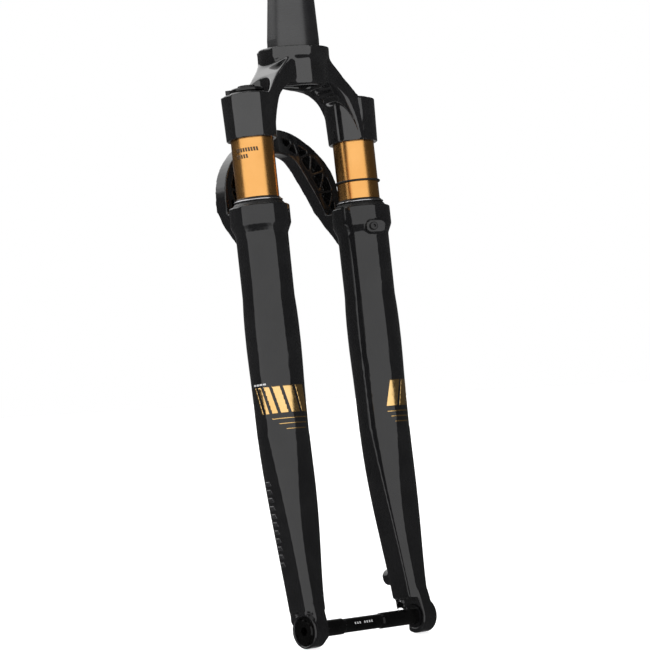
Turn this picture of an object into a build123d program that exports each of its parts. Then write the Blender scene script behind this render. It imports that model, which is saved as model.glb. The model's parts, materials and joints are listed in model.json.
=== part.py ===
from build123d import *
import math
import os

# Suspension fork: short-travel air fork with a tapered steerer, a hollow-backed arch behind the
# legs, a 12 mm through axle and a flat brake mount.
# Frame: origin at the centre of the crown race seat, +Z up the steerer, +X forward, +Y to the
# rider's left.  The legs lean forward from the steerer, so every leg piece is drawn upright in the
# legs' own frame (same origin, Z along the stanchions) and leaned once, when it is written.

# ---------------------------------------------------------------- driving dimensions (mm)
LEG_LEAN = 4.35            # degrees between the steerer and the stanchions
LEG_SPACING = 104.0        # between the stanchion axes
STANCHION_R = 16.0
STANCHION_BORE_R = 14.7
WIPER_Z = -118.2           # wiper lip, in the legs' frame
CROWN_REACH = 46.6         # stanchion showing above the wiper
SLEEVE_TOP = 80.0          # top of the crown sleeves above the wiper
STANCHION_BOTTOM = 132.0   # below the wiper
AXLE_X = 11.5              # axle forward of the leg axes
AXLE_DEPTH = 319.8         # axle below the wiper
HUB_WIDTH = 100.0          # between the dropouts' hub seats
AXLE_R = 6.0

RACE_R = 19.9              # crown race seat, 39.8 mm across
RACE_HEIGHT = 7.0
STEERER_PRESS_R = 19.5     # lower end, pressed into the crown
STEERER_R = 14.3           # 28.6 mm across
STEERER_TAPER_TOP = 95.0
STEERER_TOP = 255.0
STEERER_BORE_R = 11.5
STEERER_BOTTOM = -20.0

RUNNING = 0.05             # radial clearance of parts that slide or turn in each other
LOOSE = 0.4                # clearance between parts that only pass each other
SHAFT_R = 4.0
SHAFT_BOTTOM = 284.0
FOOT_FLOOR = 302.0         # floor of the foot screw's pocket, below the wiper
FOOT_POCKET_R = 4.6
FOOT_THREAD_R = 2.95

LEG_Y = LEG_SPACING / 2
DROPOUT_IN = HUB_WIDTH / 2
DROPOUT_OUT = DROPOUT_IN + 12.8
SIDES = (("right", -1), ("left", 1))

lean = math.radians(LEG_LEAN)
LEG_FRAME = Plane(
    origin=(0, 0, 0),
    x_dir=(math.cos(lean), 0, math.sin(lean)),
    z_dir=(-math.sin(lean), 0, math.cos(lean)),
).location
STEERER_IN_LEG_FRAME = Plane(
    origin=(0, 0, 0),
    x_dir=(math.cos(lean), 0, -math.sin(lean)),
    z_dir=(math.sin(lean), 0, math.cos(lean)),
)

os.makedirs("parts", exist_ok=True)


# ---------------------------------------------------------------- helpers
def height(above):
    """Height in the legs' frame of a level given above (+) or below (-) the wiper lip."""
    return WIPER_Z + above


def level(above, x=0.0, y=0.0):
    """Plane square to the legs at a height above the wiper lip, over the point x, y."""
    return Plane(origin=(x, y, height(above)))


def save(piece, label):
    """Label a piece that is already in the fork's frame and write it."""
    piece.part.label = label
    export_step(piece.part, f"parts/{label}.step")


def save_leg_piece(piece, label):
    """Lean a piece from the legs' upright frame into the fork's frame, label it and write it."""
    piece.part = piece.part.moved(LEG_FRAME)
    piece.part.label = label
    export_step(piece.part, f"parts/{label}.step")


def leg_axis(y):
    """Axis of the leg at sideways place y."""
    return Axis((0, y, 0), (0, 0, 1))


def leg_section(y):
    """Lengthwise plane through a leg's axis: first coordinate forward, second up."""
    return Plane(origin=(0, y, WIPER_Z), x_dir=(1, 0, 0), z_dir=(0, -1, 0))


def turned(y, outline):
    """Turn a closed outline of (radius, height above the wiper) points about a leg's axis."""
    with BuildPart() as piece:
        with BuildSketch(leg_section(y)):
            with BuildLine():
                Polyline(*outline, close=True)
            make_face()
        revolve(axis=leg_axis(y))
    return piece


def tube_outline(outer, inner, low, high):
    """Outline of a plain tube or, with inner 0, of a plain rod."""
    return [(inner, low), (outer, low), (outer, high), (inner, high)]


# ---------------------------------------------------------------- steerer and crown
def make_steerer():
    taper_bore_r = 15.2
    with BuildPart() as steerer:
        with BuildSketch(Plane.XZ):
            with BuildLine():
                Polyline(
                    (taper_bore_r, STEERER_BOTTOM),
                    (STEERER_PRESS_R, STEERER_BOTTOM),
                    (STEERER_PRESS_R, 0),
                    (RACE_R, 0),
                    (RACE_R, RACE_HEIGHT),
                    (STEERER_R, STEERER_TAPER_TOP),
                    (STEERER_R, STEERER_TOP),
                    (STEERER_BORE_R, STEERER_TOP),
                    (STEERER_BORE_R, STEERER_TAPER_TOP + 5),
                    (taper_bore_r, 15),
                    close=True,
                )
            make_face()
        revolve(axis=Axis.Z)
        chamfer(steerer.edges().group_by(Axis.Z)[-1], length=0.6)
    save(steerer, "steerer_tube")


COLLAR_R = 27.0
SLEEVE_TOP_R = 20.0
SLEEVE_BOTTOM_R = 19.0
SPOTFACE_R = 18.0          # wrench room around each top cap
CROWN_REAR = -26.3         # flat cut on the back, clear of the arch at full travel

# Half outlines of the crown's arms: seen from the front as (sideways, above the wiper), the
# shoulder on top and the opening over the tyre below; seen from above as (forward, sideways).
CROWN_SHOULDER = (
    (20.0, 119.0),
    (21.0, 109.0),
    (27.0, 102.5),
    (33.0, 96.5),
    (38.5, 90.0),
    (44.0, 82.5),
    (47.0, 79.5),
    (52.0, 79.5),
)
CROWN_OPENING = (
    (43.5, 48.0),
    (42.0, 55.0),
    (40.0, 62.5),
    (37.0, 70.5),
    (33.0, 78.5),
    (27.0, 85.0),
    (19.0, 89.5),
)
CROWN_OPENING_APEX = 92.0
CROWN_FRONT = ((18.5, 14.0), (17.0, 24.0), (16.8, 34.0), (18.3, 43.0), (18.3, 52.0))
CROWN_BACK = ((-14.0, 52.0), (-14.0, 38.0), (-17.5, 25.0), (-24.0, 13.0))
CROWN_POCKETS = (
    ((20.5, 86.0), (26.0, 82.0), (28.5, 88.0), (23.5, 92.0)),
    ((28.5, 80.0), (32.0, 75.0), (33.2, 79.0), (31.2, 84.5)),
)


def mirrored(points):
    """Points of a half outline followed by their mirror images, in reverse order."""
    return list(points) + [(-y, z) for y, z in reversed(points)]


def crown_arms(front):
    """Both arms with the centre between them, narrower from front to back toward the sleeves."""
    with BuildPart() as from_front:
        with BuildSketch(front.offset(-60)):
            with BuildLine():
                Polyline(*mirrored(CROWN_SHOULDER + ((52.0, 48.0),)), close=True)
            make_face()
            with BuildLine():
                opening = mirrored(CROWN_OPENING)
                half = len(CROWN_OPENING)
                Spline(*opening[:half], (0.0, CROWN_OPENING_APEX), *opening[half:])
                Line(opening[-1], opening[0])
            make_face(mode=Mode.SUBTRACT)
        extrude(amount=120)
    with BuildPart() as from_above:
        with BuildSketch(level(40.0)) as plan:
            with BuildLine():
                right_half = [(x, -y) for x, y in reversed(CROWN_FRONT + CROWN_BACK)]
                Polyline(*CROWN_FRONT, *CROWN_BACK, *right_half, close=True)
            make_face()
            fillet(plan.vertices(), radius=2.5)
        extrude(amount=90)
    return from_front.part & from_above.part


def make_crown():
    front = Plane(origin=(0, 0, WIPER_Z), x_dir=(0, 1, 0), z_dir=(1, 0, 0))
    keel_r = 22.6
    keel_centre = 1.4
    keel_rear = 8.0
    keel_low = 87.0
    housing_r = 24.8
    housing_shift = -2.6
    pocket_rear, pocket_front = -8.0, 9.0
    with BuildPart() as crown:
        add(crown_arms(front))
        # round wall on the front of the steerer's bore
        with BuildSketch(level(keel_low)):
            with Locations((keel_centre, 0)):
                Circle(keel_r)
            with Locations((-40.0 + keel_rear, 0)):
                Rectangle(80, 80, mode=Mode.SUBTRACT)
        extrude(amount=25)
        # housing round the steerer, with the collar under the race seat on top
        with BuildSketch(STEERER_IN_LEG_FRAME):
            Circle(COLLAR_R)
        extrude(amount=-7)
        with BuildSketch(STEERER_IN_LEG_FRAME.offset(-7)):
            Circle(COLLAR_R)
        with BuildSketch(STEERER_IN_LEG_FRAME.offset(-13)):
            with Locations((housing_shift, 0)):
                Circle(housing_r)
        loft()
        with BuildSketch(STEERER_IN_LEG_FRAME.offset(-13)):
            with Locations((housing_shift, 0)):
                Circle(housing_r)
        extrude(amount=-9)
        # sleeves that hold the stanchions
        for _, side in SIDES:
            with BuildSketch(level(CROWN_REACH, y=side * LEG_Y)):
                Circle(SLEEVE_BOTTOM_R)
            with BuildSketch(level(SLEEVE_TOP, y=side * LEG_Y)):
                Circle(SLEEVE_TOP_R)
            loft()
        # wrench room round each top cap, which scallops the arms
        for _, side in SIDES:
            with BuildSketch(level(SLEEVE_TOP, y=side * LEG_Y)):
                Circle(SPOTFACE_R)
            extrude(amount=60, mode=Mode.SUBTRACT)
        # lightening pockets under the arms, open to the tyre
        for _, side in SIDES:
            for corners in CROWN_POCKETS:
                with BuildSketch(front.offset(pocket_rear)):
                    with BuildLine():
                        Polyline(*[(side * y, z) for y, z in corners], close=True)
                    make_face()
                extrude(amount=pocket_front - pocket_rear, mode=Mode.SUBTRACT)
        # bores for the stanchions and the steerer
        for _, side in SIDES:
            with BuildSketch(level(CROWN_REACH - 5, y=side * LEG_Y)):
                Circle(STANCHION_R)
            extrude(amount=60, mode=Mode.SUBTRACT)
        with BuildSketch(STEERER_IN_LEG_FRAME.offset(-40)):
            Circle(STEERER_PRESS_R)
        extrude(amount=60, mode=Mode.SUBTRACT)
        # nothing stands above the race seat or behind the flat back
        with BuildSketch(STEERER_IN_LEG_FRAME):
            Rectangle(200, 200)
        extrude(amount=40, mode=Mode.SUBTRACT)
        with BuildSketch(front.offset(CROWN_REAR)):
            with Locations((0, 60)):
                Rectangle(200, 96)
        extrude(amount=-40, mode=Mode.SUBTRACT)
    save_leg_piece(crown, "crown")


# ---------------------------------------------------------------- stanchions and what they hold
def make_stanchions():
    for name, side in SIDES:
        stanchion = turned(
            side * LEG_Y,
            tube_outline(STANCHION_R, STANCHION_BORE_R, -STANCHION_BOTTOM, SLEEVE_TOP - 1),
        )
        save_leg_piece(stanchion, f"stanchion_{name}")


SEAL_HEAD_TOP = -118.0
CARTRIDGE_OUTER_R = 13.2
CARTRIDGE_BORE_R = 12.05


def make_seal_heads():
    for name, side in (("damper", -1), ("air", 1)):
        seal_head = turned(
            side * LEG_Y,
            [
                (SHAFT_R + RUNNING, SEAL_HEAD_TOP),
                (STANCHION_BORE_R, SEAL_HEAD_TOP),
                (STANCHION_BORE_R, -STANCHION_BOTTOM),
                (STANCHION_R - 0.3, -STANCHION_BOTTOM),
                (STANCHION_R - 0.3, -STANCHION_BOTTOM - 2),
                (SHAFT_R + 3.5, -STANCHION_BOTTOM - 2),
                (SHAFT_R + RUNNING, -STANCHION_BOTTOM - 1),
            ],
        )
        save_leg_piece(seal_head, f"{name}_seal_head")


DAMPER_CAP_TOP = 82.4
LEVER_POST_R = 5.0
LEVER_POST_TOP = 85.2
NEEDLE_R = 2.0


def make_damper_top():
    y = -LEG_Y
    cap = turned(
        y,
        [
            (NEEDLE_R + RUNNING, 65.0),
            (STANCHION_BORE_R, 65.0),
            (STANCHION_BORE_R, SLEEVE_TOP - 1),
            (15.6, SLEEVE_TOP - 1),
            (15.6, SLEEVE_TOP + 0.8),
            (14.8, SLEEVE_TOP + 1.6),
            (10.0, SLEEVE_TOP + 1.6),
            (9.6, DAMPER_CAP_TOP),
            (LEVER_POST_R, DAMPER_CAP_TOP),
            (LEVER_POST_R, LEVER_POST_TOP),
            (NEEDLE_R + RUNNING, LEVER_POST_TOP),
        ],
    )
    save_leg_piece(cap, "damper_top_cap")
    cartridge = turned(y, tube_outline(CARTRIDGE_OUTER_R, CARTRIDGE_BORE_R, SEAL_HEAD_TOP, 65.0))
    save_leg_piece(cartridge, "damper_cartridge_tube")
    base_valve = turned(
        y,
        [
            (0, 28),
            (8, 28),
            (8, 30),
            (CARTRIDGE_BORE_R, 30),
            (CARTRIDGE_BORE_R, 40),
            (3, 40),
            (3, 60),
            (0, 60),
        ],
    )
    save_leg_piece(base_valve, "damper_base_valve")
    bladder = turned(y, [(8, 40), (9, 40), (10.5, 47), (10.5, 58), (9, 65), (8, 65), (9.5, 58), (9.5, 47)])
    save_leg_piece(bladder, "damper_bladder")


def make_compression_controls():
    """Three-position lever with a drooping thumb tab, and the low-speed knob above it."""
    y = -LEG_Y
    lever_low = DAMPER_CAP_TOP + 0.4
    lever_high = LEVER_POST_TOP
    disc_r = 13.2
    tab_angle = 222.0
    tab_reach = 15.8
    tab_droop = 0.7
    with BuildPart() as lever:
        with BuildSketch(level(lever_low, y=y)):
            Circle(disc_r)
        extrude(amount=lever_high - lever_low)
        with BuildSketch(
            Plane(
                origin=(0, y, height(lever_low - tab_droop)),
                x_dir=(math.cos(math.radians(tab_angle)), math.sin(math.radians(tab_angle)), 0),
                z_dir=(0, 0, 1),
            )
        ):
            with Locations((tab_reach - 2.0, 0)):
                RectangleRounded(4.0, 9.0, 1.6)
        extrude(amount=lever_high - lever_low + tab_droop)
        with BuildSketch(
            Plane(
                origin=(0, y, height(lever_low)),
                x_dir=(math.cos(math.radians(tab_angle)), math.sin(math.radians(tab_angle)), 0),
                z_dir=(0, 0, 1),
            )
        ):
            with Locations((tab_reach / 2, 0)):
                Rectangle(tab_reach - 3.0, 9.0)
        extrude(amount=lever_high - lever_low)
        with BuildSketch(level(lever_low - 1, y=y)):
            Circle(LEVER_POST_R + RUNNING)
        extrude(amount=10, mode=Mode.SUBTRACT)
        rims = lever.edges().group_by(Axis.Z)[-1].filter_by(GeomType.CIRCLE)
        chamfer(rims.sort_by(Edge.length)[-1], length=0.7)
    save_leg_piece(lever, "compression_lever")

    knob_low = LEVER_POST_TOP + 0.4
    knob_r = 6.6
    flutes = 12
    with BuildPart() as knob:
        with BuildSketch(level(knob_low, y=y)):
            Circle(knob_r)
            with PolarLocations(knob_r + 0.5, flutes):
                Circle(0.9, mode=Mode.SUBTRACT)
        extrude(amount=1.9)
        with BuildSketch(level(70, y=y)):
            Circle(NEEDLE_R)
        extrude(amount=knob_low - 70)
    save_leg_piece(knob, "compression_knob")


AIR_CAP_TOP = 81.6
VALVE_R = 3.85
VALVE_CORE_R = 2.4


def make_air_top():
    y = LEG_Y
    cap = turned(
        y,
        [
            (VALVE_CORE_R, 66.0),
            (STANCHION_BORE_R, 66.0),
            (STANCHION_BORE_R, SLEEVE_TOP - 1),
            (15.4, SLEEVE_TOP - 1),
            (15.4, SLEEVE_TOP + 0.8),
            (14.6, AIR_CAP_TOP),
            (VALVE_R, AIR_CAP_TOP),
            (VALVE_R, AIR_CAP_TOP + 2.0),
            (VALVE_CORE_R, AIR_CAP_TOP + 2.0),
        ],
    )
    save_leg_piece(cap, "air_top_cap")
    core = turned(y, [(0, 62), (1.2, 62), (1.2, 66), (VALVE_CORE_R, 66), (VALVE_CORE_R, 83), (0, 83)])
    save_leg_piece(core, "air_valve_core")

    cap_r = 7.6
    grips = 18
    with BuildPart() as valve_cap:
        with BuildSketch(level(AIR_CAP_TOP + LOOSE, y=y)):
            Circle(cap_r)
            with PolarLocations(cap_r + 0.25, grips):
                Circle(0.55, mode=Mode.SUBTRACT)
        extrude(amount=2.8)
        with BuildSketch(level(AIR_CAP_TOP, y=y)):
            Circle(VALVE_R + RUNNING)
        extrude(amount=2.4, mode=Mode.SUBTRACT)
    save_leg_piece(valve_cap, "air_valve_cap")

    spacer_height = 8.0
    spacers = 2
    with BuildPart() as volume_spacers:
        for index in range(spacers):
            with BuildSketch(level(66.0 - (index + 1) * spacer_height, y=y)):
                Circle(12.6)
                Circle(3.2, mode=Mode.SUBTRACT)
            extrude(amount=spacer_height - 0.1)
    save_leg_piece(volume_spacers, "volume_spacers")


def make_travel_ring():
    """Rubber ring on the left stanchion that the wiper pushes up to mark the travel used."""
    ring_above = 16.1
    section_r = 0.8
    with BuildPart() as ring:
        with BuildSketch(leg_section(LEG_Y)):
            with Locations((STANCHION_R + 0.02 + section_r, ring_above)):
                Circle(section_r)
        revolve(axis=leg_axis(LEG_Y))
    save_leg_piece(ring, "travel_o_ring")


# ---------------------------------------------------------------- lower legs
WIPER_SEAT_R = 19.4
BUSHING_SEAT_R = 17.2
LEG_BORE_R = 16.8
BORE_END = 281.0
BORE_END_R = 5.2
ARCH_FRONT = -29.0
ARCH_REAR = -41.0

# Lower half of each leg: depth below the wiper, then how far the section reaches rearward,
# forward, inboard and outboard of the leg's axis, and its corner radius.
LEG_SECTIONS = (
    (176.0, 19.0, 19.5, 19.2, 19.2, 18.9),
    (200.0, 16.9, 19.2, 18.0, 17.6, 15.3),
    (228.0, 13.2, 18.7, 16.0, 15.7, 10.8),
    (262.0, 9.5, 18.6, 12.4, 13.1, 7.4),
    (306.0, 6.2, 20.5, 8.4, 10.5, 6.4),
)


def make_lower_casting():
    side_plane = Plane(origin=(0, 0, WIPER_Z), x_dir=(1, 0, 0), z_dir=(0, -1, 0))
    front = Plane(origin=(0, 0, WIPER_Z), x_dir=(0, 1, 0), z_dir=(1, 0, 0))
    with BuildPart() as casting:
        for _, side in SIDES:
            add_leg(side)
        add_arch(front, side_plane)
        for _, side in SIDES:
            add_dropout(side)
        add_brake_mount()
        add_hose_boss()
        for _, side in SIDES:
            cut_leg_bore(side)
        cut_axle_holes()
        cut_brake_holes()
    save_leg_piece(casting, "lower_casting")


def add_leg(side):
    """Collar, barrel and tapered lower half of one leg, as a solid."""
    y = side * LEG_Y
    with BuildSketch(leg_section(y)) as barrel:
        with BuildLine():
            Polyline((0, -176), (0, -4), (22.3, -4), (22.8, -4.5), (22.8, -18), (19.7, -25))
            Line((19.7, -25), (19.5, -72))
            Spline((19.5, -72), (20.3, -88), (20.5, -101), (20.4, -114), (19.9, -134), (19.5, -160))
            Line((19.5, -160), (19.3, -176))
            Line((19.3, -176), (0, -176))
        make_face()
    revolve(barrel.sketch, axis=leg_axis(y))
    sections = []
    for depth, rear, fore, inboard, outboard, corner in LEG_SECTIONS:
        middle_x = (fore - rear) / 2
        middle_y = y + side * (outboard - inboard) / 2
        with BuildSketch(level(-depth, x=middle_x, y=middle_y)) as section:
            RectangleRounded(fore + rear, inboard + outboard, corner)
        sections.append(section.sketch)
    loft(sections)


# Half outlines of the arch, seen from the front as (sideways, above the wiper), from the legs up.
ARCH_OUTER = ((55.5, -42.0), (58.6, -6.0), (58.3, 13.0), (54.0, 28.0), (44.5, 40.5), (27.0, 53.5))
ARCH_INNER = ((45.5, -42.0), (45.0, -12.0), (36.0, 7.5), (24.0, 26.5), (13.0, 39.5))
ARCH_TOP = 62.0
ARCH_UNDERSIDE = 43.2
ARCH_FOOT = -42.0
ARCH_TRUSS_OUTER = ((0.0, 58.3), (17.0, 53.0), (34.0, 44.5), (46.5, 31.0), (53.5, 15.0), (54.0, -1.0))
ARCH_TRUSS_INNER = ((8.0, 47.0), (21.0, 40.0), (30.5, 26.5), (38.5, 13.0), (46.0, -1.0))
RIB_HALF = 1.1


def add_arch(front, side_plane):
    """Reversed arch: a tapered strut behind each leg, joined over the tyre, ribbed on its front."""
    with BuildSketch(side_plane.offset(-70)) as side_view:
        with BuildLine():
            Polyline(
                (ARCH_FRONT, 70),
                (ARCH_REAR, 70),
                (ARCH_REAR, -1),
                (-36.5, -13),
                (-18.5, -39),
                (-8, ARCH_FOOT),
                (-8, -4.6),
                (ARCH_FRONT, -4.6),
                close=True,
            )
        make_face()
    arch_side = extrude(side_view.sketch, amount=140, mode=Mode.PRIVATE)
    outer = mirrored(ARCH_OUTER)
    inner = mirrored(ARCH_INNER)
    with BuildSketch(front.offset(-60)) as front_view:
        with BuildLine():
            Spline(*outer[:len(ARCH_OUTER)], (0.0, ARCH_TOP), *outer[len(ARCH_OUTER):])
            Line(outer[-1], inner[-1])
            Spline(*inner[:len(ARCH_INNER)], (0.0, ARCH_UNDERSIDE), *inner[len(ARCH_INNER):])
            Line(inner[0], outer[0])
        make_face()
    arch_front = extrude(front_view.sketch, amount=60, mode=Mode.PRIVATE)
    add(arch_side & arch_front)
    # triangular pockets between the ribs
    for side in (-1, 1):
        for triangle in arch_triangles(side):
            with BuildSketch(front.offset(ARCH_REAR + 3.0)) as pocket:
                with BuildLine():
                    Polyline(*triangle, close=True)
                make_face()
                offset(amount=-RIB_HALF)
                fillet(pocket.vertices(), radius=1.2)
            extrude(pocket.sketch, amount=ARCH_FRONT - ARCH_REAR, mode=Mode.SUBTRACT)


def arch_triangles(side):
    """Triangles between the truss points of the outer rim and those of the inner rim."""
    outer = [(side * y, z) for y, z in ARCH_TRUSS_OUTER]
    inner = [(side * y, z) for y, z in ARCH_TRUSS_INNER]
    triangles = []
    for index in range(len(inner)):
        triangles.append((outer[index], outer[index + 1], inner[index]))
        if index + 1 < len(inner):
            triangles.append((inner[index], outer[index + 1], inner[index + 1]))
    return triangles


DROPOUT_R = 13.0
DROPOUT_WEB = ((-17.0, 20.0), (-17.0, 7.0), (-7.0, -6.5), (10.0, -2.0), (12.8, 2.0), (9.0, 20.0))
DROPOUT_WEB_SET_BACK = 3.0  # of the web's outer face from the boss's
HUB_SEAT_R = 10.6
HUB_LIP = 1.5
HEAD_POCKET_R = 10.9
HEAD_POCKET_FLOOR = DROPOUT_OUT - 3.2
NUT_R = 8.5


def dropout_plane(y):
    """Plane across the axle at sideways place y: first coordinate forward, second up."""
    return Plane(origin=(AXLE_X, y, height(-AXLE_DEPTH)), x_dir=(1, 0, 0), z_dir=(0, -1, 0))


def add_dropout(side):
    """Round boss about the axle, with a web that runs up into the leg."""
    inner_y = side * (DROPOUT_IN - HUB_LIP)
    thickness = DROPOUT_OUT - DROPOUT_IN + HUB_LIP
    with BuildSketch(dropout_plane(inner_y)) as boss:
        Circle(DROPOUT_R)
    extrude(boss.sketch, amount=-side * thickness)
    with BuildSketch(dropout_plane(inner_y)) as web:
        with BuildLine():
            Polyline(*DROPOUT_WEB, close=True)
        make_face()
    extrude(web.sketch, amount=-side * (thickness - DROPOUT_WEB_SET_BACK))
    with BuildSketch(level(-FOOT_FLOOR - 8.0, y=side * (LEG_Y + 2.0))) as foot:
        Circle(7.0)
    extrude(foot.sketch, amount=20.0)


def cut_leg_bore(side):
    """Stepped bore for the wiper, foam ring, bushings and stanchion, tapering to the foot."""
    y = side * LEG_Y
    with BuildSketch(leg_section(y)) as bore:
        with BuildLine():
            Polyline(
                (0, 0),
                (WIPER_SEAT_R, 0),
                (WIPER_SEAT_R, -17),
                (BUSHING_SEAT_R, -17),
                (BUSHING_SEAT_R, -112),
                (LEG_BORE_R, -114),
                (LEG_BORE_R, -178),
                (9.5, -190),
                (6.2, -204),
                (BORE_END_R, -BORE_END),
                (BORE_END_R, -SHAFT_BOTTOM),
                (0, -SHAFT_BOTTOM),
                close=True,
            )
        make_face()
    revolve(bore.sketch, axis=leg_axis(y), mode=Mode.SUBTRACT)
    with BuildSketch(level(-FOOT_FLOOR - 40, y=y)) as pocket:
        Circle(FOOT_POCKET_R)
    extrude(pocket.sketch, amount=40, mode=Mode.SUBTRACT)
    with BuildSketch(level(-FOOT_FLOOR - 5, y=y)) as screw_hole:
        Circle(FOOT_THREAD_R + RUNNING)
    extrude(screw_hole.sketch, amount=40, mode=Mode.SUBTRACT)


def cut_axle_holes():
    """Axle bores, hub seats open downward, the head's pocket and the nut's seat."""
    for _, side in SIDES:
        with BuildSketch(dropout_plane(side * DROPOUT_IN)) as hub_seat:
            Circle(HUB_SEAT_R)
            with Locations((0, -15)):
                Rectangle(2 * HUB_SEAT_R, 30)
        extrude(hub_seat.sketch, amount=side * 12, mode=Mode.SUBTRACT)
    with BuildSketch(dropout_plane(-DROPOUT_OUT - 1)) as axle_bore:
        Circle(AXLE_R + RUNNING)
    extrude(axle_bore.sketch, amount=-20, mode=Mode.SUBTRACT)
    with BuildSketch(dropout_plane(-HEAD_POCKET_FLOOR)) as head_pocket:
        Circle(HEAD_POCKET_R)
    extrude(head_pocket.sketch, amount=10, mode=Mode.SUBTRACT)
    with BuildSketch(dropout_plane(DROPOUT_IN - 1)) as nut_seat:
        Circle(NUT_R)
    extrude(nut_seat.sketch, amount=-20, mode=Mode.SUBTRACT)


BRAKE_HOLE_SPACING = 70.0
BRAKE_UPPER_HOLE = -219.0
BRAKE_FACE_X = -14.2
BRAKE_TAP_R = 2.1
BRAKE_HOLE_DEPTH = 8.0


def brake_plane(above):
    """Plane of the flat mount's rear face: first coordinate to the left, second up."""
    return Plane(origin=(BRAKE_FACE_X, LEG_Y, height(above)), x_dir=(0, -1, 0), z_dir=(-1, 0, 0))


def add_brake_mount():
    """Long upper pad and round lower boss behind the left leg, with one common face."""
    pad_height = 48.0
    with BuildSketch(brake_plane(BRAKE_UPPER_HOLE + pad_height / 2 - 9.0)) as pad:
        RectangleRounded(20.0, pad_height, 5.0)
    extrude(pad.sketch, amount=-10)
    with BuildSketch(brake_plane(BRAKE_UPPER_HOLE - BRAKE_HOLE_SPACING)) as boss:
        Circle(6.4)
    extrude(boss.sketch, amount=-11)


def cut_brake_holes():
    for hole in (BRAKE_UPPER_HOLE, BRAKE_UPPER_HOLE - BRAKE_HOLE_SPACING):
        with BuildSketch(brake_plane(hole)) as tapped:
            Circle(BRAKE_TAP_R)
        extrude(tapped.sketch, amount=-BRAKE_HOLE_DEPTH, mode=Mode.SUBTRACT)


HOSE_BOSS_ANGLE = -23.0
HOSE_BOSS_ABOVE = -21.5
HOSE_BOSS_REACH = 24.2
HOSE_SCREW_R = 1.6


def hose_plane(reach):
    """Plane facing out from the left leg where the brake hose is held."""
    angle = math.radians(HOSE_BOSS_ANGLE)
    outward = (math.cos(angle), math.sin(angle), 0)
    return Plane(
        origin=(reach * outward[0], LEG_Y + reach * outward[1], height(HOSE_BOSS_ABOVE)),
        x_dir=(-outward[1], outward[0], 0),
        z_dir=outward,
    )


def add_hose_boss():
    """Small pad for the hose guide, low on the left collar's front."""
    with BuildSketch(hose_plane(HOSE_BOSS_REACH)) as pad:
        with Locations((2.5, 0)):
            RectangleRounded(16.0, 9.6, 4.2)
    extrude(pad.sketch, amount=-9)
    with BuildSketch(hose_plane(HOSE_BOSS_REACH)) as screw_hole:
        Circle(HOSE_SCREW_R)
    extrude(screw_hole.sketch, amount=-4.2, mode=Mode.SUBTRACT)


# ---------------------------------------------------------------- pieces carried by the lower legs
def make_seals_and_bushings():
    for name, side in SIDES:
        y = side * LEG_Y
        wiper = turned(
            y,
            [
                (16.5, -9.0),
                (WIPER_SEAT_R, -9.0),
                (WIPER_SEAT_R, -4.0),
                (19.9, -4.0),
                (19.9, -3.4),
                (18.6, -1.6),
                (17.3, -0.8),
                (17.3, 0.8),
                (16.9, 1.7),
                (STANCHION_R + RUNNING, 2.3),
                (STANCHION_R + RUNNING, 0.6),
                (16.5, -0.2),
            ],
        )
        save_leg_piece(wiper, f"wiper_seal_{name}")
        with BuildPart() as spring:
            with BuildSketch(leg_section(y)):
                with Locations((17.87, 0)):
                    Circle(0.56)
            revolve(axis=leg_axis(y))
        save_leg_piece(spring, f"wiper_spring_{name}")
        foam = turned(y, tube_outline(WIPER_SEAT_R, STANCHION_R + LOOSE, -17.0, -9.1))
        save_leg_piece(foam, f"foam_ring_{name}")
        for place, low, high in (("upper", -38.0, -20.0), ("lower", -111.5, -92.0)):
            bushing = turned(y, tube_outline(BUSHING_SEAT_R, STANCHION_R + RUNNING, low, high))
            save_leg_piece(bushing, f"{place}_bushing_{name}")


def shaft_outline(top, bore):
    """Outline of a shaft with a threaded foot and, with bore above 0, a rod hole through it."""
    outline = [(FOOT_THREAD_R, -SHAFT_BOTTOM), (SHAFT_R, -SHAFT_BOTTOM), (SHAFT_R, top), (bore, top)]
    return outline + [(bore, -268.0), (FOOT_THREAD_R, -268.0)]


def make_damper_shaft():
    y = -LEG_Y
    rod_r = 1.2
    piston_high, piston_low = -36.0, -45.0
    shaft = turned(y, shaft_outline(piston_high, rod_r + RUNNING))
    save_leg_piece(shaft, "damper_shaft")
    piston = turned(
        y,
        [
            (SHAFT_R, piston_low),
            (9, piston_low),
            (CARTRIDGE_BORE_R - RUNNING, piston_low + 1.5),
            (CARTRIDGE_BORE_R - RUNNING, piston_high - 1.5),
            (9, piston_high),
            (SHAFT_R, piston_high),
        ],
    )
    save_leg_piece(piston, "damper_piston")
    foot_nut = turned(y, foot_screw_outline(rod_r + RUNNING))
    save_leg_piece(foot_nut, "foot_nut_right")
    rod = turned(y, tube_outline(rod_r, 0, -FOOT_FLOOR - 7.0, -60.0))
    save_leg_piece(rod, "rebound_rod")

    knob_top = -FOOT_FLOOR - 7.0
    flutes = 8
    with BuildPart() as knob:
        with BuildSketch(level(knob_top, y=y)):
            Circle(4.15)
            with PolarLocations(4.45, flutes):
                Circle(0.7, mode=Mode.SUBTRACT)
        extrude(amount=-8.0)
    save_leg_piece(knob, "rebound_knob")


def foot_screw_outline(bore):
    head_top = -FOOT_FLOOR - 1.0
    outline = [(bore, head_top - 5.0), (4.15, head_top - 5.0), (4.15, head_top), (FOOT_THREAD_R, head_top)]
    return outline + [(FOOT_THREAD_R, -268.0), (bore, -268.0)]


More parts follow.
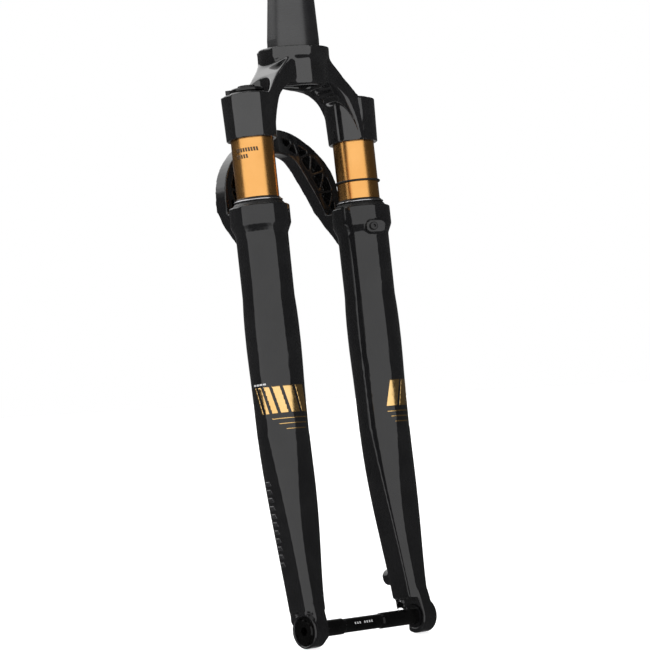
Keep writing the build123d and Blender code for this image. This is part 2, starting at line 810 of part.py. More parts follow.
def make_air_spring():
    y = LEG_Y
    piston_high, piston_low = -96.0, -108.0
    groove_high, groove_low = -100.0, -103.5
    groove_r = 12.4
    piston_r = STANCHION_BORE_R - RUNNING
    shaft = turned(y, shaft_outline(piston_high, 0))
    save_leg_piece(shaft, "air_shaft")
    piston = turned(
        y,
        [
            (SHAFT_R, piston_low),
            (piston_r, piston_low),
            (piston_r, groove_low),
            (groove_r, groove_low),
            (groove_r, groove_high),
            (piston_r, groove_high),
            (piston_r, piston_high),
            (SHAFT_R, piston_high),
        ],
    )
    save_leg_piece(piston, "air_piston")
    seal = turned(y, tube_outline(piston_r + 0.02, groove_r, groove_low, groove_high))
    save_leg_piece(seal, "air_piston_seal")
    top_out = turned(y, tube_outline(9.5, SHAFT_R + LOOSE, SEAL_HEAD_TOP, piston_low - LOOSE))
    save_leg_piece(top_out, "top_out_bumper")
    bumper = turned(
        y,
        [(SHAFT_R, -188), (7.5, -188), (8.2, -184), (7.0, -181), (7.6, -178), (6.5, -176), (SHAFT_R, -176)],
    )
    save_leg_piece(bumper, "bottom_out_bumper")
    hex_r = 2.3
    with BuildPart() as foot_screw:
        with BuildSketch(leg_section(y)):
            with BuildLine():
                Polyline(*foot_screw_outline(0), close=True)
            make_face()
        revolve(axis=leg_axis(y))
        with BuildSketch(level(-FOOT_FLOOR - 6.0, y=y)):
            RegularPolygon(hex_r, 6)
        extrude(amount=3.5, mode=Mode.SUBTRACT)
    save_leg_piece(foot_screw, "foot_screw_left")


def make_crush_washers():
    with BuildPart() as washers:
        for _, side in SIDES:
            with BuildSketch(level(-FOOT_FLOOR - 1.0, y=side * LEG_Y)):
                Circle(4.3)
                Circle(FOOT_THREAD_R, mode=Mode.SUBTRACT)
            extrude(amount=1.0)
    save_leg_piece(washers, "crush_washers")


def make_axle():
    """Through axle: pocketed head with a hex socket on the right, plain thread end on the left."""
    head_r = 10.4
    head_outer = DROPOUT_OUT - 0.4
    head_inner = HEAD_POCKET_FLOOR + 0.3
    waist_r = 5.3
    waist_right, waist_left = -24.0, 13.0
    end = DROPOUT_OUT - 1.5
    hex_corner_r = 3.0 / math.cos(math.radians(30))
    with BuildPart() as axle:
        with BuildSketch(Plane(origin=(AXLE_X, 0, height(-AXLE_DEPTH)), x_dir=(0, 1, 0), z_dir=(-1, 0, 0))):
            with BuildLine():
                Polyline(
                    (-head_outer, 0),
                    (-head_outer, 7.6),
                    (-head_outer + 1.0, 8.2),
                    (-head_outer + 1.0, head_r),
                    (-head_inner, head_r),
                    (-head_inner, AXLE_R),
                    (waist_right - 1.5, AXLE_R),
                    (waist_right, waist_r),
                    (waist_left, waist_r),
                    (waist_left + 1.5, AXLE_R),
                    (end - 1.5, AXLE_R),
                    (end, AXLE_R - 1.0),
                    (end, 0),
                    close=True,
                )
            make_face()
        revolve(axis=Axis((AXLE_X, 0, height(-AXLE_DEPTH)), (0, 1, 0)))
        with BuildSketch(dropout_plane(-head_outer)):
            RegularPolygon(hex_corner_r, 6)
        extrude(amount=-9, mode=Mode.SUBTRACT)
        notches = 4
        with BuildSketch(dropout_plane(-head_outer)):
            with PolarLocations(head_r - 1.1, notches, start_angle=20):
                Circle(0.75)
        extrude(amount=-2.2, mode=Mode.SUBTRACT)
    save_leg_piece(axle, "axle")

    with BuildPart() as nut:
        with BuildSketch(dropout_plane(DROPOUT_IN)):
            Circle(NUT_R)
            Circle(AXLE_R + RUNNING, mode=Mode.SUBTRACT)
        extrude(amount=-(DROPOUT_OUT - DROPOUT_IN - 0.6))
    save_leg_piece(nut, "axle_nut")


def make_hose_screw():
    head_r = 3.1
    with BuildPart() as screw:
        with BuildSketch(hose_plane(HOSE_BOSS_REACH)):
            Circle(head_r)
        extrude(amount=2.2)
        fillet(screw.edges().filter_by(GeomType.CIRCLE).sort_by(lambda e: e.center().X)[-1], 0.8)
        with BuildSketch(hose_plane(HOSE_BOSS_REACH)):
            Circle(HOSE_SCREW_R)
        extrude(amount=-4.0)
        with BuildSketch(hose_plane(HOSE_BOSS_REACH + 2.2)):
            RegularPolygon(1.5, 6)
        extrude(amount=-1.6, mode=Mode.SUBTRACT)
    save_leg_piece(screw, "hose_guide_screw")


def make_seal_head_clips():
    """Wire rings that lock the seal heads from below."""
    clip_above = -STANCHION_BOTTOM - 2.6
    with BuildPart() as clips:
        for _, side in SIDES:
            with BuildSketch(leg_section(side * LEG_Y)):
                with Locations((SHAFT_R + 6.5, clip_above)):
                    Circle(0.6)
            revolve(axis=leg_axis(side * LEG_Y))
    save_leg_piece(clips, "seal_head_clips")


make_steerer()
make_crown()
make_stanchions()
make_seal_heads()
make_damper_top()
make_compression_controls()
make_air_top()
make_travel_ring()
make_lower_casting()
make_seals_and_bushings()
make_damper_shaft()
make_air_spring()
make_crush_washers()
make_axle()
make_hose_screw()
make_seal_head_clips()
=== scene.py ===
import json
import math

import bmesh
import bpy
from mathutils import Matrix, Vector
from mathutils.bvhtree import BVHTree


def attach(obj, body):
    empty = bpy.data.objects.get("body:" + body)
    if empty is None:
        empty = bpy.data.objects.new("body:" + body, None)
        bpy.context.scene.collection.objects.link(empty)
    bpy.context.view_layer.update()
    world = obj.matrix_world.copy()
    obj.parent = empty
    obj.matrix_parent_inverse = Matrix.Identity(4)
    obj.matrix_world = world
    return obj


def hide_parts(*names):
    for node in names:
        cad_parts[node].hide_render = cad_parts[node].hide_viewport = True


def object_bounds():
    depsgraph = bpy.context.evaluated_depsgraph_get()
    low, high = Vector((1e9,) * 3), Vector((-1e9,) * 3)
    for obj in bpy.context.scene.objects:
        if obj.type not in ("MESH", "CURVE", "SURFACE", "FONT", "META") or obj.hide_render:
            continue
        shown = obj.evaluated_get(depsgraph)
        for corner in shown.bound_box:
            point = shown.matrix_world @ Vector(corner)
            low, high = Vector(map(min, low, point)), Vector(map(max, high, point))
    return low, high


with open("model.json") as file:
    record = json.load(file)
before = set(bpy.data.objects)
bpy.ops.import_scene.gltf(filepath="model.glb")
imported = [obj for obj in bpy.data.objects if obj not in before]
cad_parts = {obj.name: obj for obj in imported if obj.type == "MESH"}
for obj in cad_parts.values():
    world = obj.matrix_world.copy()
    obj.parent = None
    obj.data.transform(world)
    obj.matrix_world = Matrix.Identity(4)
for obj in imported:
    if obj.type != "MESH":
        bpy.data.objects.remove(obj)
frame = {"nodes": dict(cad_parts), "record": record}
cad_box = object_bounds()
nodes = frame["nodes"]

# ---------------------------------------------------------------- places in the legs' frame
MM = 0.001
LEG_LEAN = math.radians(4.35)
WIPER_Z = -118.2           # the legs' wiper lips, from the crown race seat
LEG_Y = 52.0
STANCHION_R = 16.0
BARREL_R = 19.5            # the legs where their gold bars are
LOWER_LEG_R = 17.0         # the legs where the grey marks are
AXLE_X = 11.5
AXLE_ABOVE = -319.8
AXLE_WAIST_R = 5.3
LEG_TO_ROW = Matrix.Rotation(-LEG_LEAN, 4, "Y")
ROW_TO_LEG = LEG_TO_ROW.inverted()


def leg_point(x, y, above):
    """Row-frame point, in metres, of a place in the legs' frame: mm, height above the wiper lip."""
    return LEG_TO_ROW @ (Vector((x, y, WIPER_Z + above)) * MM)


def in_legs(point):
    """Legs' frame place (x, y, height above the wiper) of a row-frame point in mm."""
    place = ROW_TO_LEG @ point
    return place.x, place.y, place.z - WIPER_Z


# ---------------------------------------------------------------- materials
def node(tree, kind, **settings):
    """A new shader node, with each setting put on the socket or the property of that name."""
    made = tree.nodes.new(kind)
    for key, value in settings.items():
        if key in made.inputs:
            made.inputs[key].default_value = value
        else:
            setattr(made, key, value)
    return made


def noise(tree, scale, detail=3.0, stretch=(1, 1, 1)):
    """Noise in the object's own coordinates; scale counts features per metre."""
    place = node(tree, "ShaderNodeTexCoord")
    mapping = node(tree, "ShaderNodeMapping")
    mapping.inputs["Scale"].default_value = stretch
    texture = node(tree, "ShaderNodeTexNoise", Scale=scale, Detail=detail)
    tree.links.new(place.outputs["Object"], mapping.inputs["Vector"])
    tree.links.new(mapping.outputs["Vector"], texture.inputs["Vector"])
    return texture.outputs["Fac"]


def between(tree, source, low, high):
    """The middle of a noise's span spread over low..high."""
    spread = node(tree, "ShaderNodeMapRange")
    spread.inputs["From Min"].default_value = 0.3
    spread.inputs["From Max"].default_value = 0.7
    spread.inputs["To Min"].default_value = low
    spread.inputs["To Max"].default_value = high
    tree.links.new(source, spread.inputs["Value"])
    return spread.outputs["Result"]


def tint(tree, source, dark, light):
    """A colour that goes from dark to light over the middle of a noise's span."""
    ramp = node(tree, "ShaderNodeValToRGB")
    ramp.color_ramp.elements[0].position = 0.35
    ramp.color_ramp.elements[1].position = 0.65
    ramp.color_ramp.elements[0].color = (*dark, 1)
    ramp.color_ramp.elements[1].color = (*light, 1)
    tree.links.new(source, ramp.inputs["Fac"])
    return ramp.outputs["Color"]


def bump(tree, source, height_mm, strength):
    """The normal of a relief whose height follows the source."""
    made = node(tree, "ShaderNodeBump", Strength=strength, Distance=height_mm * MM)
    tree.links.new(source, made.inputs["Height"])
    return made.outputs["Normal"]


FILM_RELIEF = {"bump_scale": 3000.0, "bump_mm": 0.01, "bump_strength": 0.05}
PAINT_RELIEF = {"bump_scale": 900.0, "bump_mm": 0.004, "bump_strength": 0.05}


def finish(
    name,
    dark,
    light,
    roughness,
    metallic=0.0,
    specular=0.5,
    colour_scale=60.0,
    rough_scale=400.0,
    rough_stretch=(1, 1, 1),
    bump_scale=2500.0,
    bump_stretch=(1, 1, 1),
    bump_mm=0.02,
    bump_strength=0.1,
):
    """A finish whose colour drifts between two tones, with varying roughness and a fine relief."""
    material = bpy.data.materials.new(name)
    material.use_nodes = True
    tree = material.node_tree
    shader = tree.nodes["Principled BSDF"]
    shader.inputs["Metallic"].default_value = metallic
    shader.inputs["Specular IOR Level"].default_value = specular
    colour = tint(tree, noise(tree, colour_scale), dark, light)
    tree.links.new(colour, shader.inputs["Base Color"])
    rough = between(tree, noise(tree, rough_scale, stretch=rough_stretch), *roughness)
    tree.links.new(rough, shader.inputs["Roughness"])
    relief = bump(tree, noise(tree, bump_scale, stretch=bump_stretch), bump_mm, bump_strength)
    tree.links.new(relief, shader.inputs["Normal"])
    return material


FINISHES = {
    "gloss_black_paint": finish(
        "gloss_black_paint", (0.008, 0.008, 0.0085), (0.0105, 0.0105, 0.011), (0.035, 0.075),
        **PAINT_RELIEF,
    ),
    "satin_black_anodise": finish(
        "satin_black_anodise", (0.011, 0.011, 0.012), (0.016, 0.016, 0.017), (0.26, 0.34), specular=0.8,
        rough_scale=900.0, rough_stretch=(0.05, 0.05, 4.0),
        bump_scale=900.0, bump_stretch=(0.02, 0.02, 6.0), bump_mm=0.02, bump_strength=0.12,
    ),
    "gold_coating": finish(
        "gold_coating", (0.77, 0.385, 0.115), (0.81, 0.42, 0.135), (0.22, 0.27), metallic=1.0,
        rough_scale=1200.0, rough_stretch=(1, 1, 0.15),
        bump_scale=2400.0, bump_stretch=(1, 1, 0.04), bump_mm=0.01, bump_strength=0.06,
    ),
    "black_anodise": finish(
        "black_anodise", (0.004, 0.004, 0.0045), (0.007, 0.007, 0.0075), (0.12, 0.2), specular=0.45,
        bump_scale=3000.0, bump_mm=0.01, bump_strength=0.08,
    ),
    "black_rubber": finish(
        "black_rubber", (0.006, 0.006, 0.006), (0.012, 0.012, 0.012), (0.42, 0.58),
        bump_scale=3500.0, bump_mm=0.03, bump_strength=0.25,
    ),
    "steel": finish(
        "steel", (0.52, 0.52, 0.54), (0.66, 0.66, 0.68), (0.18, 0.3), metallic=1.0,
        rough_stretch=(0.2, 0.2, 3.0), bump_mm=0.01, bump_strength=0.1,
    ),
    "shaft_chrome": finish(
        "shaft_chrome", (0.72, 0.72, 0.74), (0.8, 0.8, 0.82), (0.05, 0.1), metallic=1.0,
    ),
    "bare_aluminium": finish(
        "bare_aluminium", (0.62, 0.62, 0.64), (0.76, 0.76, 0.78), (0.25, 0.38), metallic=1.0,
        bump_stretch=(0.1, 0.1, 4.0), bump_strength=0.15,
    ),
    "bushing_bronze": finish(
        "bushing_bronze", (0.4, 0.26, 0.12), (0.5, 0.34, 0.17), (0.35, 0.5), metallic=1.0,
        bump_strength=0.2,
    ),
    "foam": finish(
        "foam", (0.16, 0.16, 0.15), (0.3, 0.3, 0.29), (0.85, 0.98), specular=0.2,
        bump_scale=1800.0, bump_mm=0.2, bump_strength=0.6,
    ),
    "black_plastic": finish(
        "black_plastic", (0.018, 0.018, 0.018), (0.028, 0.028, 0.028), (0.4, 0.55),
        bump_mm=0.03, bump_strength=0.2,
    ),
    "spacer_plastic": finish(
        "spacer_plastic", (0.62, 0.19, 0.03), (0.72, 0.24, 0.05), (0.35, 0.5),
        bump_mm=0.03, bump_strength=0.15,
    ),
}
CROWN_PAINT = finish(
    "crown_gloss_black", (0.008, 0.008, 0.0085), (0.0105, 0.0105, 0.011), (0.04, 0.08), specular=0.8,
    **PAINT_RELIEF,
)
AXLE_FINISH = finish(
    "axle_gloss_black", (0.002, 0.002, 0.002), (0.004, 0.004, 0.004), (0.06, 0.12), specular=0.2,
    bump_scale=3000.0, bump_mm=0.005, bump_strength=0.05,
)
GOLD_FILM = finish(
    "gold_film", (0.82, 0.52, 0.2), (0.9, 0.6, 0.26), (0.16, 0.24), metallic=1.0,
    **FILM_RELIEF,
)
GREY_FILM = finish(
    "grey_film", (0.016, 0.016, 0.017), (0.022, 0.022, 0.023), (0.2, 0.3),
    **FILM_RELIEF,
)
SILVER_FILM = finish(
    "silver_film", (0.5, 0.5, 0.5), (0.62, 0.62, 0.62), (0.35, 0.45),
    **FILM_RELIEF,
)
INK_FILM = finish(
    "ink_film", (0.05, 0.028, 0.012), (0.08, 0.045, 0.02), (0.2, 0.3),
    **FILM_RELIEF,
)


def paint(obj, material):
    """Give every face of the object this one material."""
    obj.data.materials.clear()
    obj.data.materials.append(material)
    for polygon in obj.data.polygons:
        polygon.material_index = 0


for part in frame["record"]["subparts"]:
    paint(nodes[part["node"]], FINISHES[part["material_slot"]])
paint(nodes["axle"], AXLE_FINISH)


# ---------------------------------------------------------------- cast shapes
def apply_modifiers(obj):
    """Replace the object's mesh by what its modifiers make of it."""
    graph = bpy.context.evaluated_depsgraph_get()
    mesh = bpy.data.meshes.new_from_object(obj.evaluated_get(graph), depsgraph=graph)
    obj.modifiers.clear()
    obj.data = mesh


def shade_smooth(obj):
    """Shade every face of the object smooth."""
    for polygon in obj.data.polygons:
        polygon.use_smooth = True


def soften(cad_name, name, voxel_mm, passes, blend_passes, blend_weight):
    """A cast copy of a CAD node: its edges become small radii and its roots larger blends.
    blend_weight(point in mm) gives how much of the blending a place gets, 0 to 1."""
    mesh = nodes[cad_name].data.copy()
    obj = bpy.data.objects.new(name, mesh)
    bpy.context.scene.collection.objects.link(obj)
    remesh = obj.modifiers.new("remesh", "REMESH")
    remesh.mode = "VOXEL"
    remesh.voxel_size = voxel_mm * MM
    remesh.use_smooth_shade = True
    apply_modifiers(obj)
    group = obj.vertex_groups.new(name="blend")
    shares = {}
    for vertex in obj.data.vertices:
        share = round(blend_weight(vertex.co / MM), 1)
        if share > 0:
            shares.setdefault(share, []).append(vertex.index)
    for share, members in shares.items():
        group.add(members, share, "REPLACE")
    blend = obj.modifiers.new("blend", "SMOOTH")
    blend.factor = 0.5
    blend.iterations = blend_passes
    blend.vertex_group = "blend"
    even = obj.modifiers.new("even", "SMOOTH")
    even.factor = 0.5
    even.iterations = passes
    apply_modifiers(obj)
    obj.vertex_groups.clear()
    shade_smooth(obj)
    return obj


# where a cast's blending fades in, as (none of it, all of it) in mm
OFF_SLEEVE = (19.5, 24.0)
UNDER_SEAT = (1.5, 5.0)
ROOT_BEHIND = (12.0, 22.0)
ROOT_UNDER_LIP = (1.0, 6.0)
ROOT_OVER_END = (-60.0, -50.0)
FOOT_UNDER_LIP = (284.0, 296.0)
OFF_AXLE = (14.0, 20.0)
LOWER_LEG_UNDER_LIP = (186.0, 196.0)
LOWER_LEG_AHEAD = (-18.0, -10.0)
LOWER_LEG_SHARE = 0.5


def rise(value, low, high):
    """0 up to low, 1 from high on, and straight between them."""
    return min(1.0, max(0.0, (value - low) / (high - low)))


def crown_blend(point):
    """Everywhere but on the sleeves and on the race seat at the top."""
    x, y, _ = in_legs(point)
    off_sleeves = rise(math.hypot(x, abs(y) - LEG_Y), *OFF_SLEEVE)
    return off_sleeves * rise(-point.z, *UNDER_SEAT)


def casting_blend(point):
    """At the arch's roots, at the feet round the dropouts, and half as much on the lower legs."""
    x, _, above = in_legs(point)
    root = rise(-x, *ROOT_BEHIND) * rise(-above, *ROOT_UNDER_LIP) * rise(above, *ROOT_OVER_END)
    from_axle = math.hypot(x - AXLE_X, above - AXLE_ABOVE)
    foot = rise(-above, *FOOT_UNDER_LIP) * rise(from_axle, *OFF_AXLE)
    lower_leg = rise(-above, *LOWER_LEG_UNDER_LIP) * rise(x, *LOWER_LEG_AHEAD) * LOWER_LEG_SHARE
    return max(root, foot, lower_leg)


crown = soften(
    "crown", "crown_cast", voxel_mm=0.6, passes=3, blend_passes=60, blend_weight=crown_blend
)
paint(crown, CROWN_PAINT)
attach(crown, "chassis")
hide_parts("crown")

casting = soften(
    "lower_casting", "lower_legs_cast", voxel_mm=0.7, passes=3, blend_passes=24, blend_weight=casting_blend
)
paint(casting, FINISHES["gloss_black_paint"])
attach(casting, "lowers")
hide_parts("lower_casting")


# ---------------------------------------------------------------- thin printed graphics
FILM_PROUD = 0.05          # mm over the surface, of a film FILM_DEPTH thick
FILM_DEPTH = 0.09
LEG_RAY_START = 0.06       # metres off the axis, outside the leg and the axle's waist
AXLE_RAY_START = 0.02


def surface_of(obj):
    """The object's surface as something to cast rays on."""
    return BVHTree.FromPolygons(
        [v.co.copy() for v in obj.data.vertices], [tuple(p.vertices) for p in obj.data.polygons]
    )


def film(name, outlines, place, material, body, grain=1.2):
    """Flat outlines (u, v in mm) laid on a surface: place(u, v) gives a point and its normal.
    The outlines are cut every grain mm, so that they follow the surface."""
    work = bmesh.new()
    for outline in outlines:
        work.faces.new([work.verts.new((u, v, 0)) for u, v in outline])
    for axis in (0, 1):
        values = [v.co[axis] for v in work.verts]
        cut = min(values) + grain
        while cut < max(values):
            normal = [0, 0, 0]
            normal[axis] = 1
            at = [0, 0, 0]
            at[axis] = cut
            every = work.verts[:] + work.edges[:] + work.faces[:]
            bmesh.ops.bisect_plane(work, geom=every, plane_co=at, plane_no=normal, dist=1e-5)
            cut += grain
    bmesh.ops.triangulate(work, faces=[f for f in work.faces if len(f.verts) > 4])
    normals = {}
    for vertex in work.verts:
        point, normal = place(vertex.co.x, vertex.co.y)
        vertex.co = point + normal * FILM_PROUD * MM
        normals[vertex] = normal
    work.normal_update()
    if sum(f.normal.dot(normals[f.verts[0]]) for f in work.faces) < 0:
        bmesh.ops.reverse_faces(work, faces=work.faces)
    work.normal_update()
    mesh = bpy.data.meshes.new(name)
    work.to_mesh(mesh)
    work.free()
    obj = bpy.data.objects.new(name, mesh)
    bpy.context.scene.collection.objects.link(obj)
    solid = obj.modifiers.new("depth", "SOLIDIFY")
    solid.thickness = FILM_DEPTH * MM
    solid.offset = -1
    apply_modifiers(obj)
    shade_smooth(obj)
    paint(obj, material)
    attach(obj, body)


def round_leg(side, centre_deg, radius, surface):
    """Places (arc length, height above the wiper) on a leg, counted outward from an angle."""

    def place(u, v):
        angle = math.radians(centre_deg) * side + side * u / radius
        outward = LEG_TO_ROW.to_3x3() @ Vector((math.cos(angle), math.sin(angle), 0))
        start = leg_point(0, side * LEG_Y, v) + outward * LEG_RAY_START
        point, normal, _, _ = surface.ray_cast(start, -outward)
        return point, normal

    return place


def slanted_bar(start, width, low, high, slant):
    """Outline of a bar whose top is shifted by slant."""
    return [(start, low), (start + width, low), (start + width + slant, high), (start + slant, high)]


def rectangle(u0, v0, u1, v1):
    """Outline of an upright rectangle between two corners."""
    return [(u0, v0), (u1, v0), (u1, v1), (u0, v1)]


def round_axle(radius, surface):
    """Places (sideways, arc length) round the axle, from the side that faces forward."""

    def place(u, v):
        angle = v / radius
        outward = LEG_TO_ROW.to_3x3() @ Vector((math.cos(angle), 0, math.sin(angle)))
        start = leg_point(AXLE_X, u, AXLE_ABOVE) + outward * AXLE_RAY_START
        point, normal, _, _ = surface.ray_cast(start, -outward)
        return point, normal

    return place


BAR_WIDTHS = (9.0, 7.5, 6.0, 4.5, 3.0, 1.6)
BAR_GAP = 2.2
BAR_SLANT = 5.0
BAR_LOW, BAR_HIGH = -159.5, -139.5
LINE_HIGHS = (-163.0, -167.0, -171.0)
LINE_WIDTH = 0.8
LINE_LENGTH = 34.0
LINE_INDENT = 3.0          # how much further in each line starts than the one over it
LINE_SHORTER = 5.0         # and how much earlier it ends
DASH_STARTS = (2.0, 5.2, 8.4, 11.6)
DASH_LENGTH = 2.6
DASH_LOW, DASH_HIGH = -138.0, -136.7
TICK_ROWS = ((39.2, 9), (34.4, 5))    # top edge, number of ticks
TICK_FIRST = 7.2
TICK_PITCH = 2.05
TICK_WIDTH = 1.4
TICK_HEIGHT = 3.0
TICK_SLANT = 0.5
TICK_ANGLE = 60.0
MARK_ANGLE = 90.0
MARK_START = -2.0
MARK_DRIFT = 0.03          # outward, for each mm up the column
MARK_WIDTH = 7.0
MARK_HEIGHT = 3.5
MARK_SLANT = 2.0
MARK_LOW = -272.0
MARK_PITCH = 6
MARK_SPAN = 66
STROKE_STARTS = (-16.0, -13.6, -11.2, -6.4, -4.0, -1.6, 0.8)
STROKE_WIDTH = 1.2
STROKE_LOW, STROKE_HIGH = 0.4, 2.0
# side, angle of the graphic's middle from straight ahead, and where its first bar starts
LEG_GRAPHICS = (("right", -1, 62.0, -34.0), ("left", 1, 37.0, -24.0))


def add_leg_graphic(side_name, place, first):
    """Slanted bars with thin lines under them and short dashes over them."""
    bars = []
    start = first
    for width in BAR_WIDTHS:
        bars.append(slanted_bar(start, width, BAR_LOW, BAR_HIGH, BAR_SLANT))
        start += width + BAR_GAP
    for index, high in enumerate(LINE_HIGHS):
        line_start = first + LINE_INDENT * index
        line_end = first + LINE_LENGTH - LINE_SHORTER * index
        bars.append(rectangle(line_start, high - LINE_WIDTH, line_end, high))
    film(f"gold_bars_{side_name}", bars, place, GOLD_FILM, "lowers", grain=0.9)
    dashes = [rectangle(u, DASH_LOW, u + DASH_LENGTH, DASH_HIGH) for u in DASH_STARTS]
    film(f"silver_dashes_{side_name}", dashes, place, SILVER_FILM, "lowers")


def add_stanchion_ticks(side_name, place):
    """Two rows of plain ticks near the top of a stanchion."""
    ticks = []
    for high, count in TICK_ROWS:
        for index in range(count):
            start = TICK_FIRST - TICK_PITCH * index
            ticks.append(slanted_bar(start, TICK_WIDTH, high - TICK_HEIGHT, high, TICK_SLANT))
    film(f"stanchion_ticks_{side_name}", ticks, place, INK_FILM, "chassis")


def add_leg_marks(place):
    """A column of short grey marks low on the right leg's outer side."""
    marks = []
    for up in range(0, MARK_SPAN, MARK_PITCH):
        start = MARK_START + MARK_DRIFT * up
        low = MARK_LOW + up
        marks.append(slanted_bar(start, MARK_WIDTH, low, low + MARK_HEIGHT, MARK_SLANT))
    film("grey_marks_right", marks, place, GREY_FILM, "lowers")


def add_axle_ticks(place):
    """Short strokes round the axle's waist between the dropouts."""
    strokes = [rectangle(u, STROKE_LOW, u + STROKE_WIDTH, STROKE_HIGH) for u in STROKE_STARTS]
    film("axle_ticks", strokes, place, SILVER_FILM, "axle", grain=0.5)


casting_surface = surface_of(casting)
for side_name, side, centre, first in LEG_GRAPHICS:
    add_leg_graphic(side_name, round_leg(side, centre, BARREL_R, casting_surface), first)
    stanchion_surface = surface_of(nodes[f"stanchion_{side_name}"])
    add_stanchion_ticks(side_name, round_leg(side, TICK_ANGLE, STANCHION_R, stanchion_surface))
add_leg_marks(round_leg(-1, MARK_ANGLE, LOWER_LEG_R, casting_surface))
add_axle_ticks(round_axle(AXLE_WAIST_R, surface_of(nodes["axle"])))


# ---------------------------------------------------------------- stage, light and camera
FLOOR_HALF = 60.0          # metres, as is the gap under the fork
FLOOR_GAP = 0.0005
FLOOR_GLOW = 0.78


def add_floor():
    """Plain pale floor just under the fork, left out of its reflections."""
    low_z = cad_box[0].z - FLOOR_GAP
    corners = [(-1, -1), (1, -1), (1, 1), (-1, 1)]
    mesh = bpy.data.meshes.new("floor")
    mesh.from_pydata([(x * FLOOR_HALF, y * FLOOR_HALF, low_z) for x, y in corners], [], [(0, 1, 2, 3)])
    floor = bpy.data.objects.new("floor", mesh)
    bpy.context.scene.collection.objects.link(floor)
    material = bpy.data.materials.new("pale_floor")
    material.use_nodes = True
    shader = material.node_tree.nodes["Principled BSDF"]
    shader.inputs["Base Color"].default_value = (0.9, 0.9, 0.9, 1)
    shader.inputs["Roughness"].default_value = 0.9
    shader.inputs["Specular IOR Level"].default_value = 0.0
    shader.inputs["Emission Color"].default_value = (1, 1, 1, 1)
    shader.inputs["Emission Strength"].default_value = FLOOR_GLOW
    mesh.materials.append(material)
    floor.visible_glossy = False


# level directions toward the photo's camera and to its right
VIEW_TOWARD = Vector((0.73487, -0.67765, 0.0))
VIEW_RIGHT = Vector((0.67765, 0.73487, 0.0))
DIM = 0.06                 # brightness of the room between the soft boxes
# azimuth right of the photo's view, elevation, their soft edges in degrees, and brightness
SOFT_BOXES = (
    ((-72.0, 58.0), (-34.0, 44.0), 4.0, 6.0, 1.2),
    ((-179.9, -84.0), (15.0, 62.0), 12.0, 10.0, 1.9),
    ((166.0, 200.0), (-50.0, 50.0), 6.0, 10.0, 0.25),
    ((-200.0, -166.0), (-50.0, 50.0), 6.0, 10.0, 0.25),
    ((-200.0, 200.0), (68.0, 100.0), 4.0, 10.0, 0.5),
)


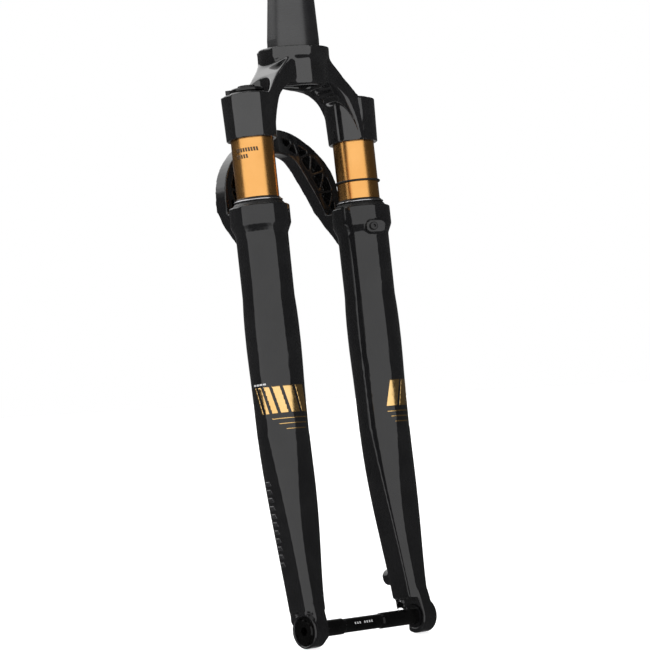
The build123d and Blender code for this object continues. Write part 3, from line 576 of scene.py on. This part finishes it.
def studio_world():
    """White to the eye, and for reflections a dim room with wide soft boxes."""
    world = bpy.data.worlds.new("studio")
    bpy.context.scene.world = world
    world.use_nodes = True
    tree = world.node_tree
    tree.nodes.clear()
    out = node(tree, "ShaderNodeOutputWorld")
    place = node(tree, "ShaderNodeTexCoord")

    def along(axis):
        """How far a ray's direction goes along an axis."""
        dot = node(tree, "ShaderNodeVectorMath", operation="DOT_PRODUCT")
        tree.links.new(place.outputs["Generated"], dot.inputs[0])
        dot.inputs[1].default_value = axis
        return dot.outputs["Value"]

    def math_node(operation, first, second=None):
        """A maths step on numbers or on other nodes' values."""
        made = node(tree, "ShaderNodeMath", operation=operation)
        for socket, value in zip(made.inputs, (first, second)):
            if value is None:
                continue
            if isinstance(value, (int, float)):
                socket.default_value = value
            else:
                tree.links.new(value, socket)
        return made.outputs["Value"]

    def window(value, low, high, soft):
        """1 inside low..high, falling to 0 over soft at each end."""
        masks = []
        for start, end in ((low - soft / 2, low + soft / 2), (high + soft / 2, high - soft / 2)):
            spread = node(tree, "ShaderNodeMapRange", interpolation_type="SMOOTHSTEP")
            spread.inputs["From Min"].default_value = min(start, end)
            spread.inputs["From Max"].default_value = max(start, end)
            spread.inputs["To Min"].default_value = 0.0 if start < end else 1.0
            spread.inputs["To Max"].default_value = 1.0 if start < end else 0.0
            tree.links.new(value, spread.inputs["Value"])
            masks.append(spread.outputs["Result"])
        return math_node("MULTIPLY", masks[0], masks[1])

    across = math_node("ARCTAN2", along(VIEW_RIGHT), along(VIEW_TOWARD))
    across = math_node("MULTIPLY", across, 180 / math.pi)
    up = math_node("MULTIPLY", math_node("ARCSINE", along((0, 0, 1))), 180 / math.pi)
    total = DIM
    for azimuth, elevation, azimuth_soft, elevation_soft, strength in SOFT_BOXES:
        shape = math_node(
            "MULTIPLY", window(across, *azimuth, azimuth_soft), window(up, *elevation, elevation_soft)
        )
        total = math_node("ADD", math_node("MULTIPLY", shape, strength), total)
    room = node(tree, "ShaderNodeBackground")
    tree.links.new(total, room.inputs["Strength"])
    sheet = node(tree, "ShaderNodeBackground", Strength=1.0)
    sheet.inputs["Color"].default_value = (1, 1, 1, 1)
    room.inputs["Color"].default_value = (1, 1, 1, 1)
    rays = node(tree, "ShaderNodeLightPath")
    mix = node(tree, "ShaderNodeMixShader")
    tree.links.new(rays.outputs["Is Camera Ray"], mix.inputs[0])
    tree.links.new(room.outputs[0], mix.inputs[1])
    tree.links.new(sheet.outputs[0], mix.inputs[2])
    tree.links.new(mix.outputs[0], out.inputs["Surface"])


LENS = 138.54
CAMERA_AT = Vector((1.4084, -1.2821, -0.26417))
CAMERA_RIGHT = Vector((0.67569, 0.73504, -0.05616))
CAMERA_UP = Vector((0.05844, 0.02253, 0.99804))


def add_camera():
    """The photo's camera: a long lens at the front right, looking slightly up and rolled a little."""
    data = bpy.data.cameras.new("camera")
    data.sensor_width = 36.0
    data.lens = LENS
    data.clip_start = 0.05
    data.clip_end = 200.0
    camera = bpy.data.objects.new("camera", data)
    bpy.context.scene.collection.objects.link(camera)
    right = CAMERA_RIGHT.normalized()
    up = CAMERA_UP.normalized()
    back = right.cross(up).normalized()
    up = back.cross(right).normalized()
    at = CAMERA_AT
    camera.matrix_world = Matrix(
        (
            (right.x, up.x, back.x, at.x),
            (right.y, up.y, back.y, at.y),
            (right.z, up.z, back.z, at.z),
            (0, 0, 0, 1),
        )
    )
    bpy.context.scene.camera = camera


add_floor()
studio_world()
add_camera()
bpy.context.scene.view_settings.view_transform = "Standard"
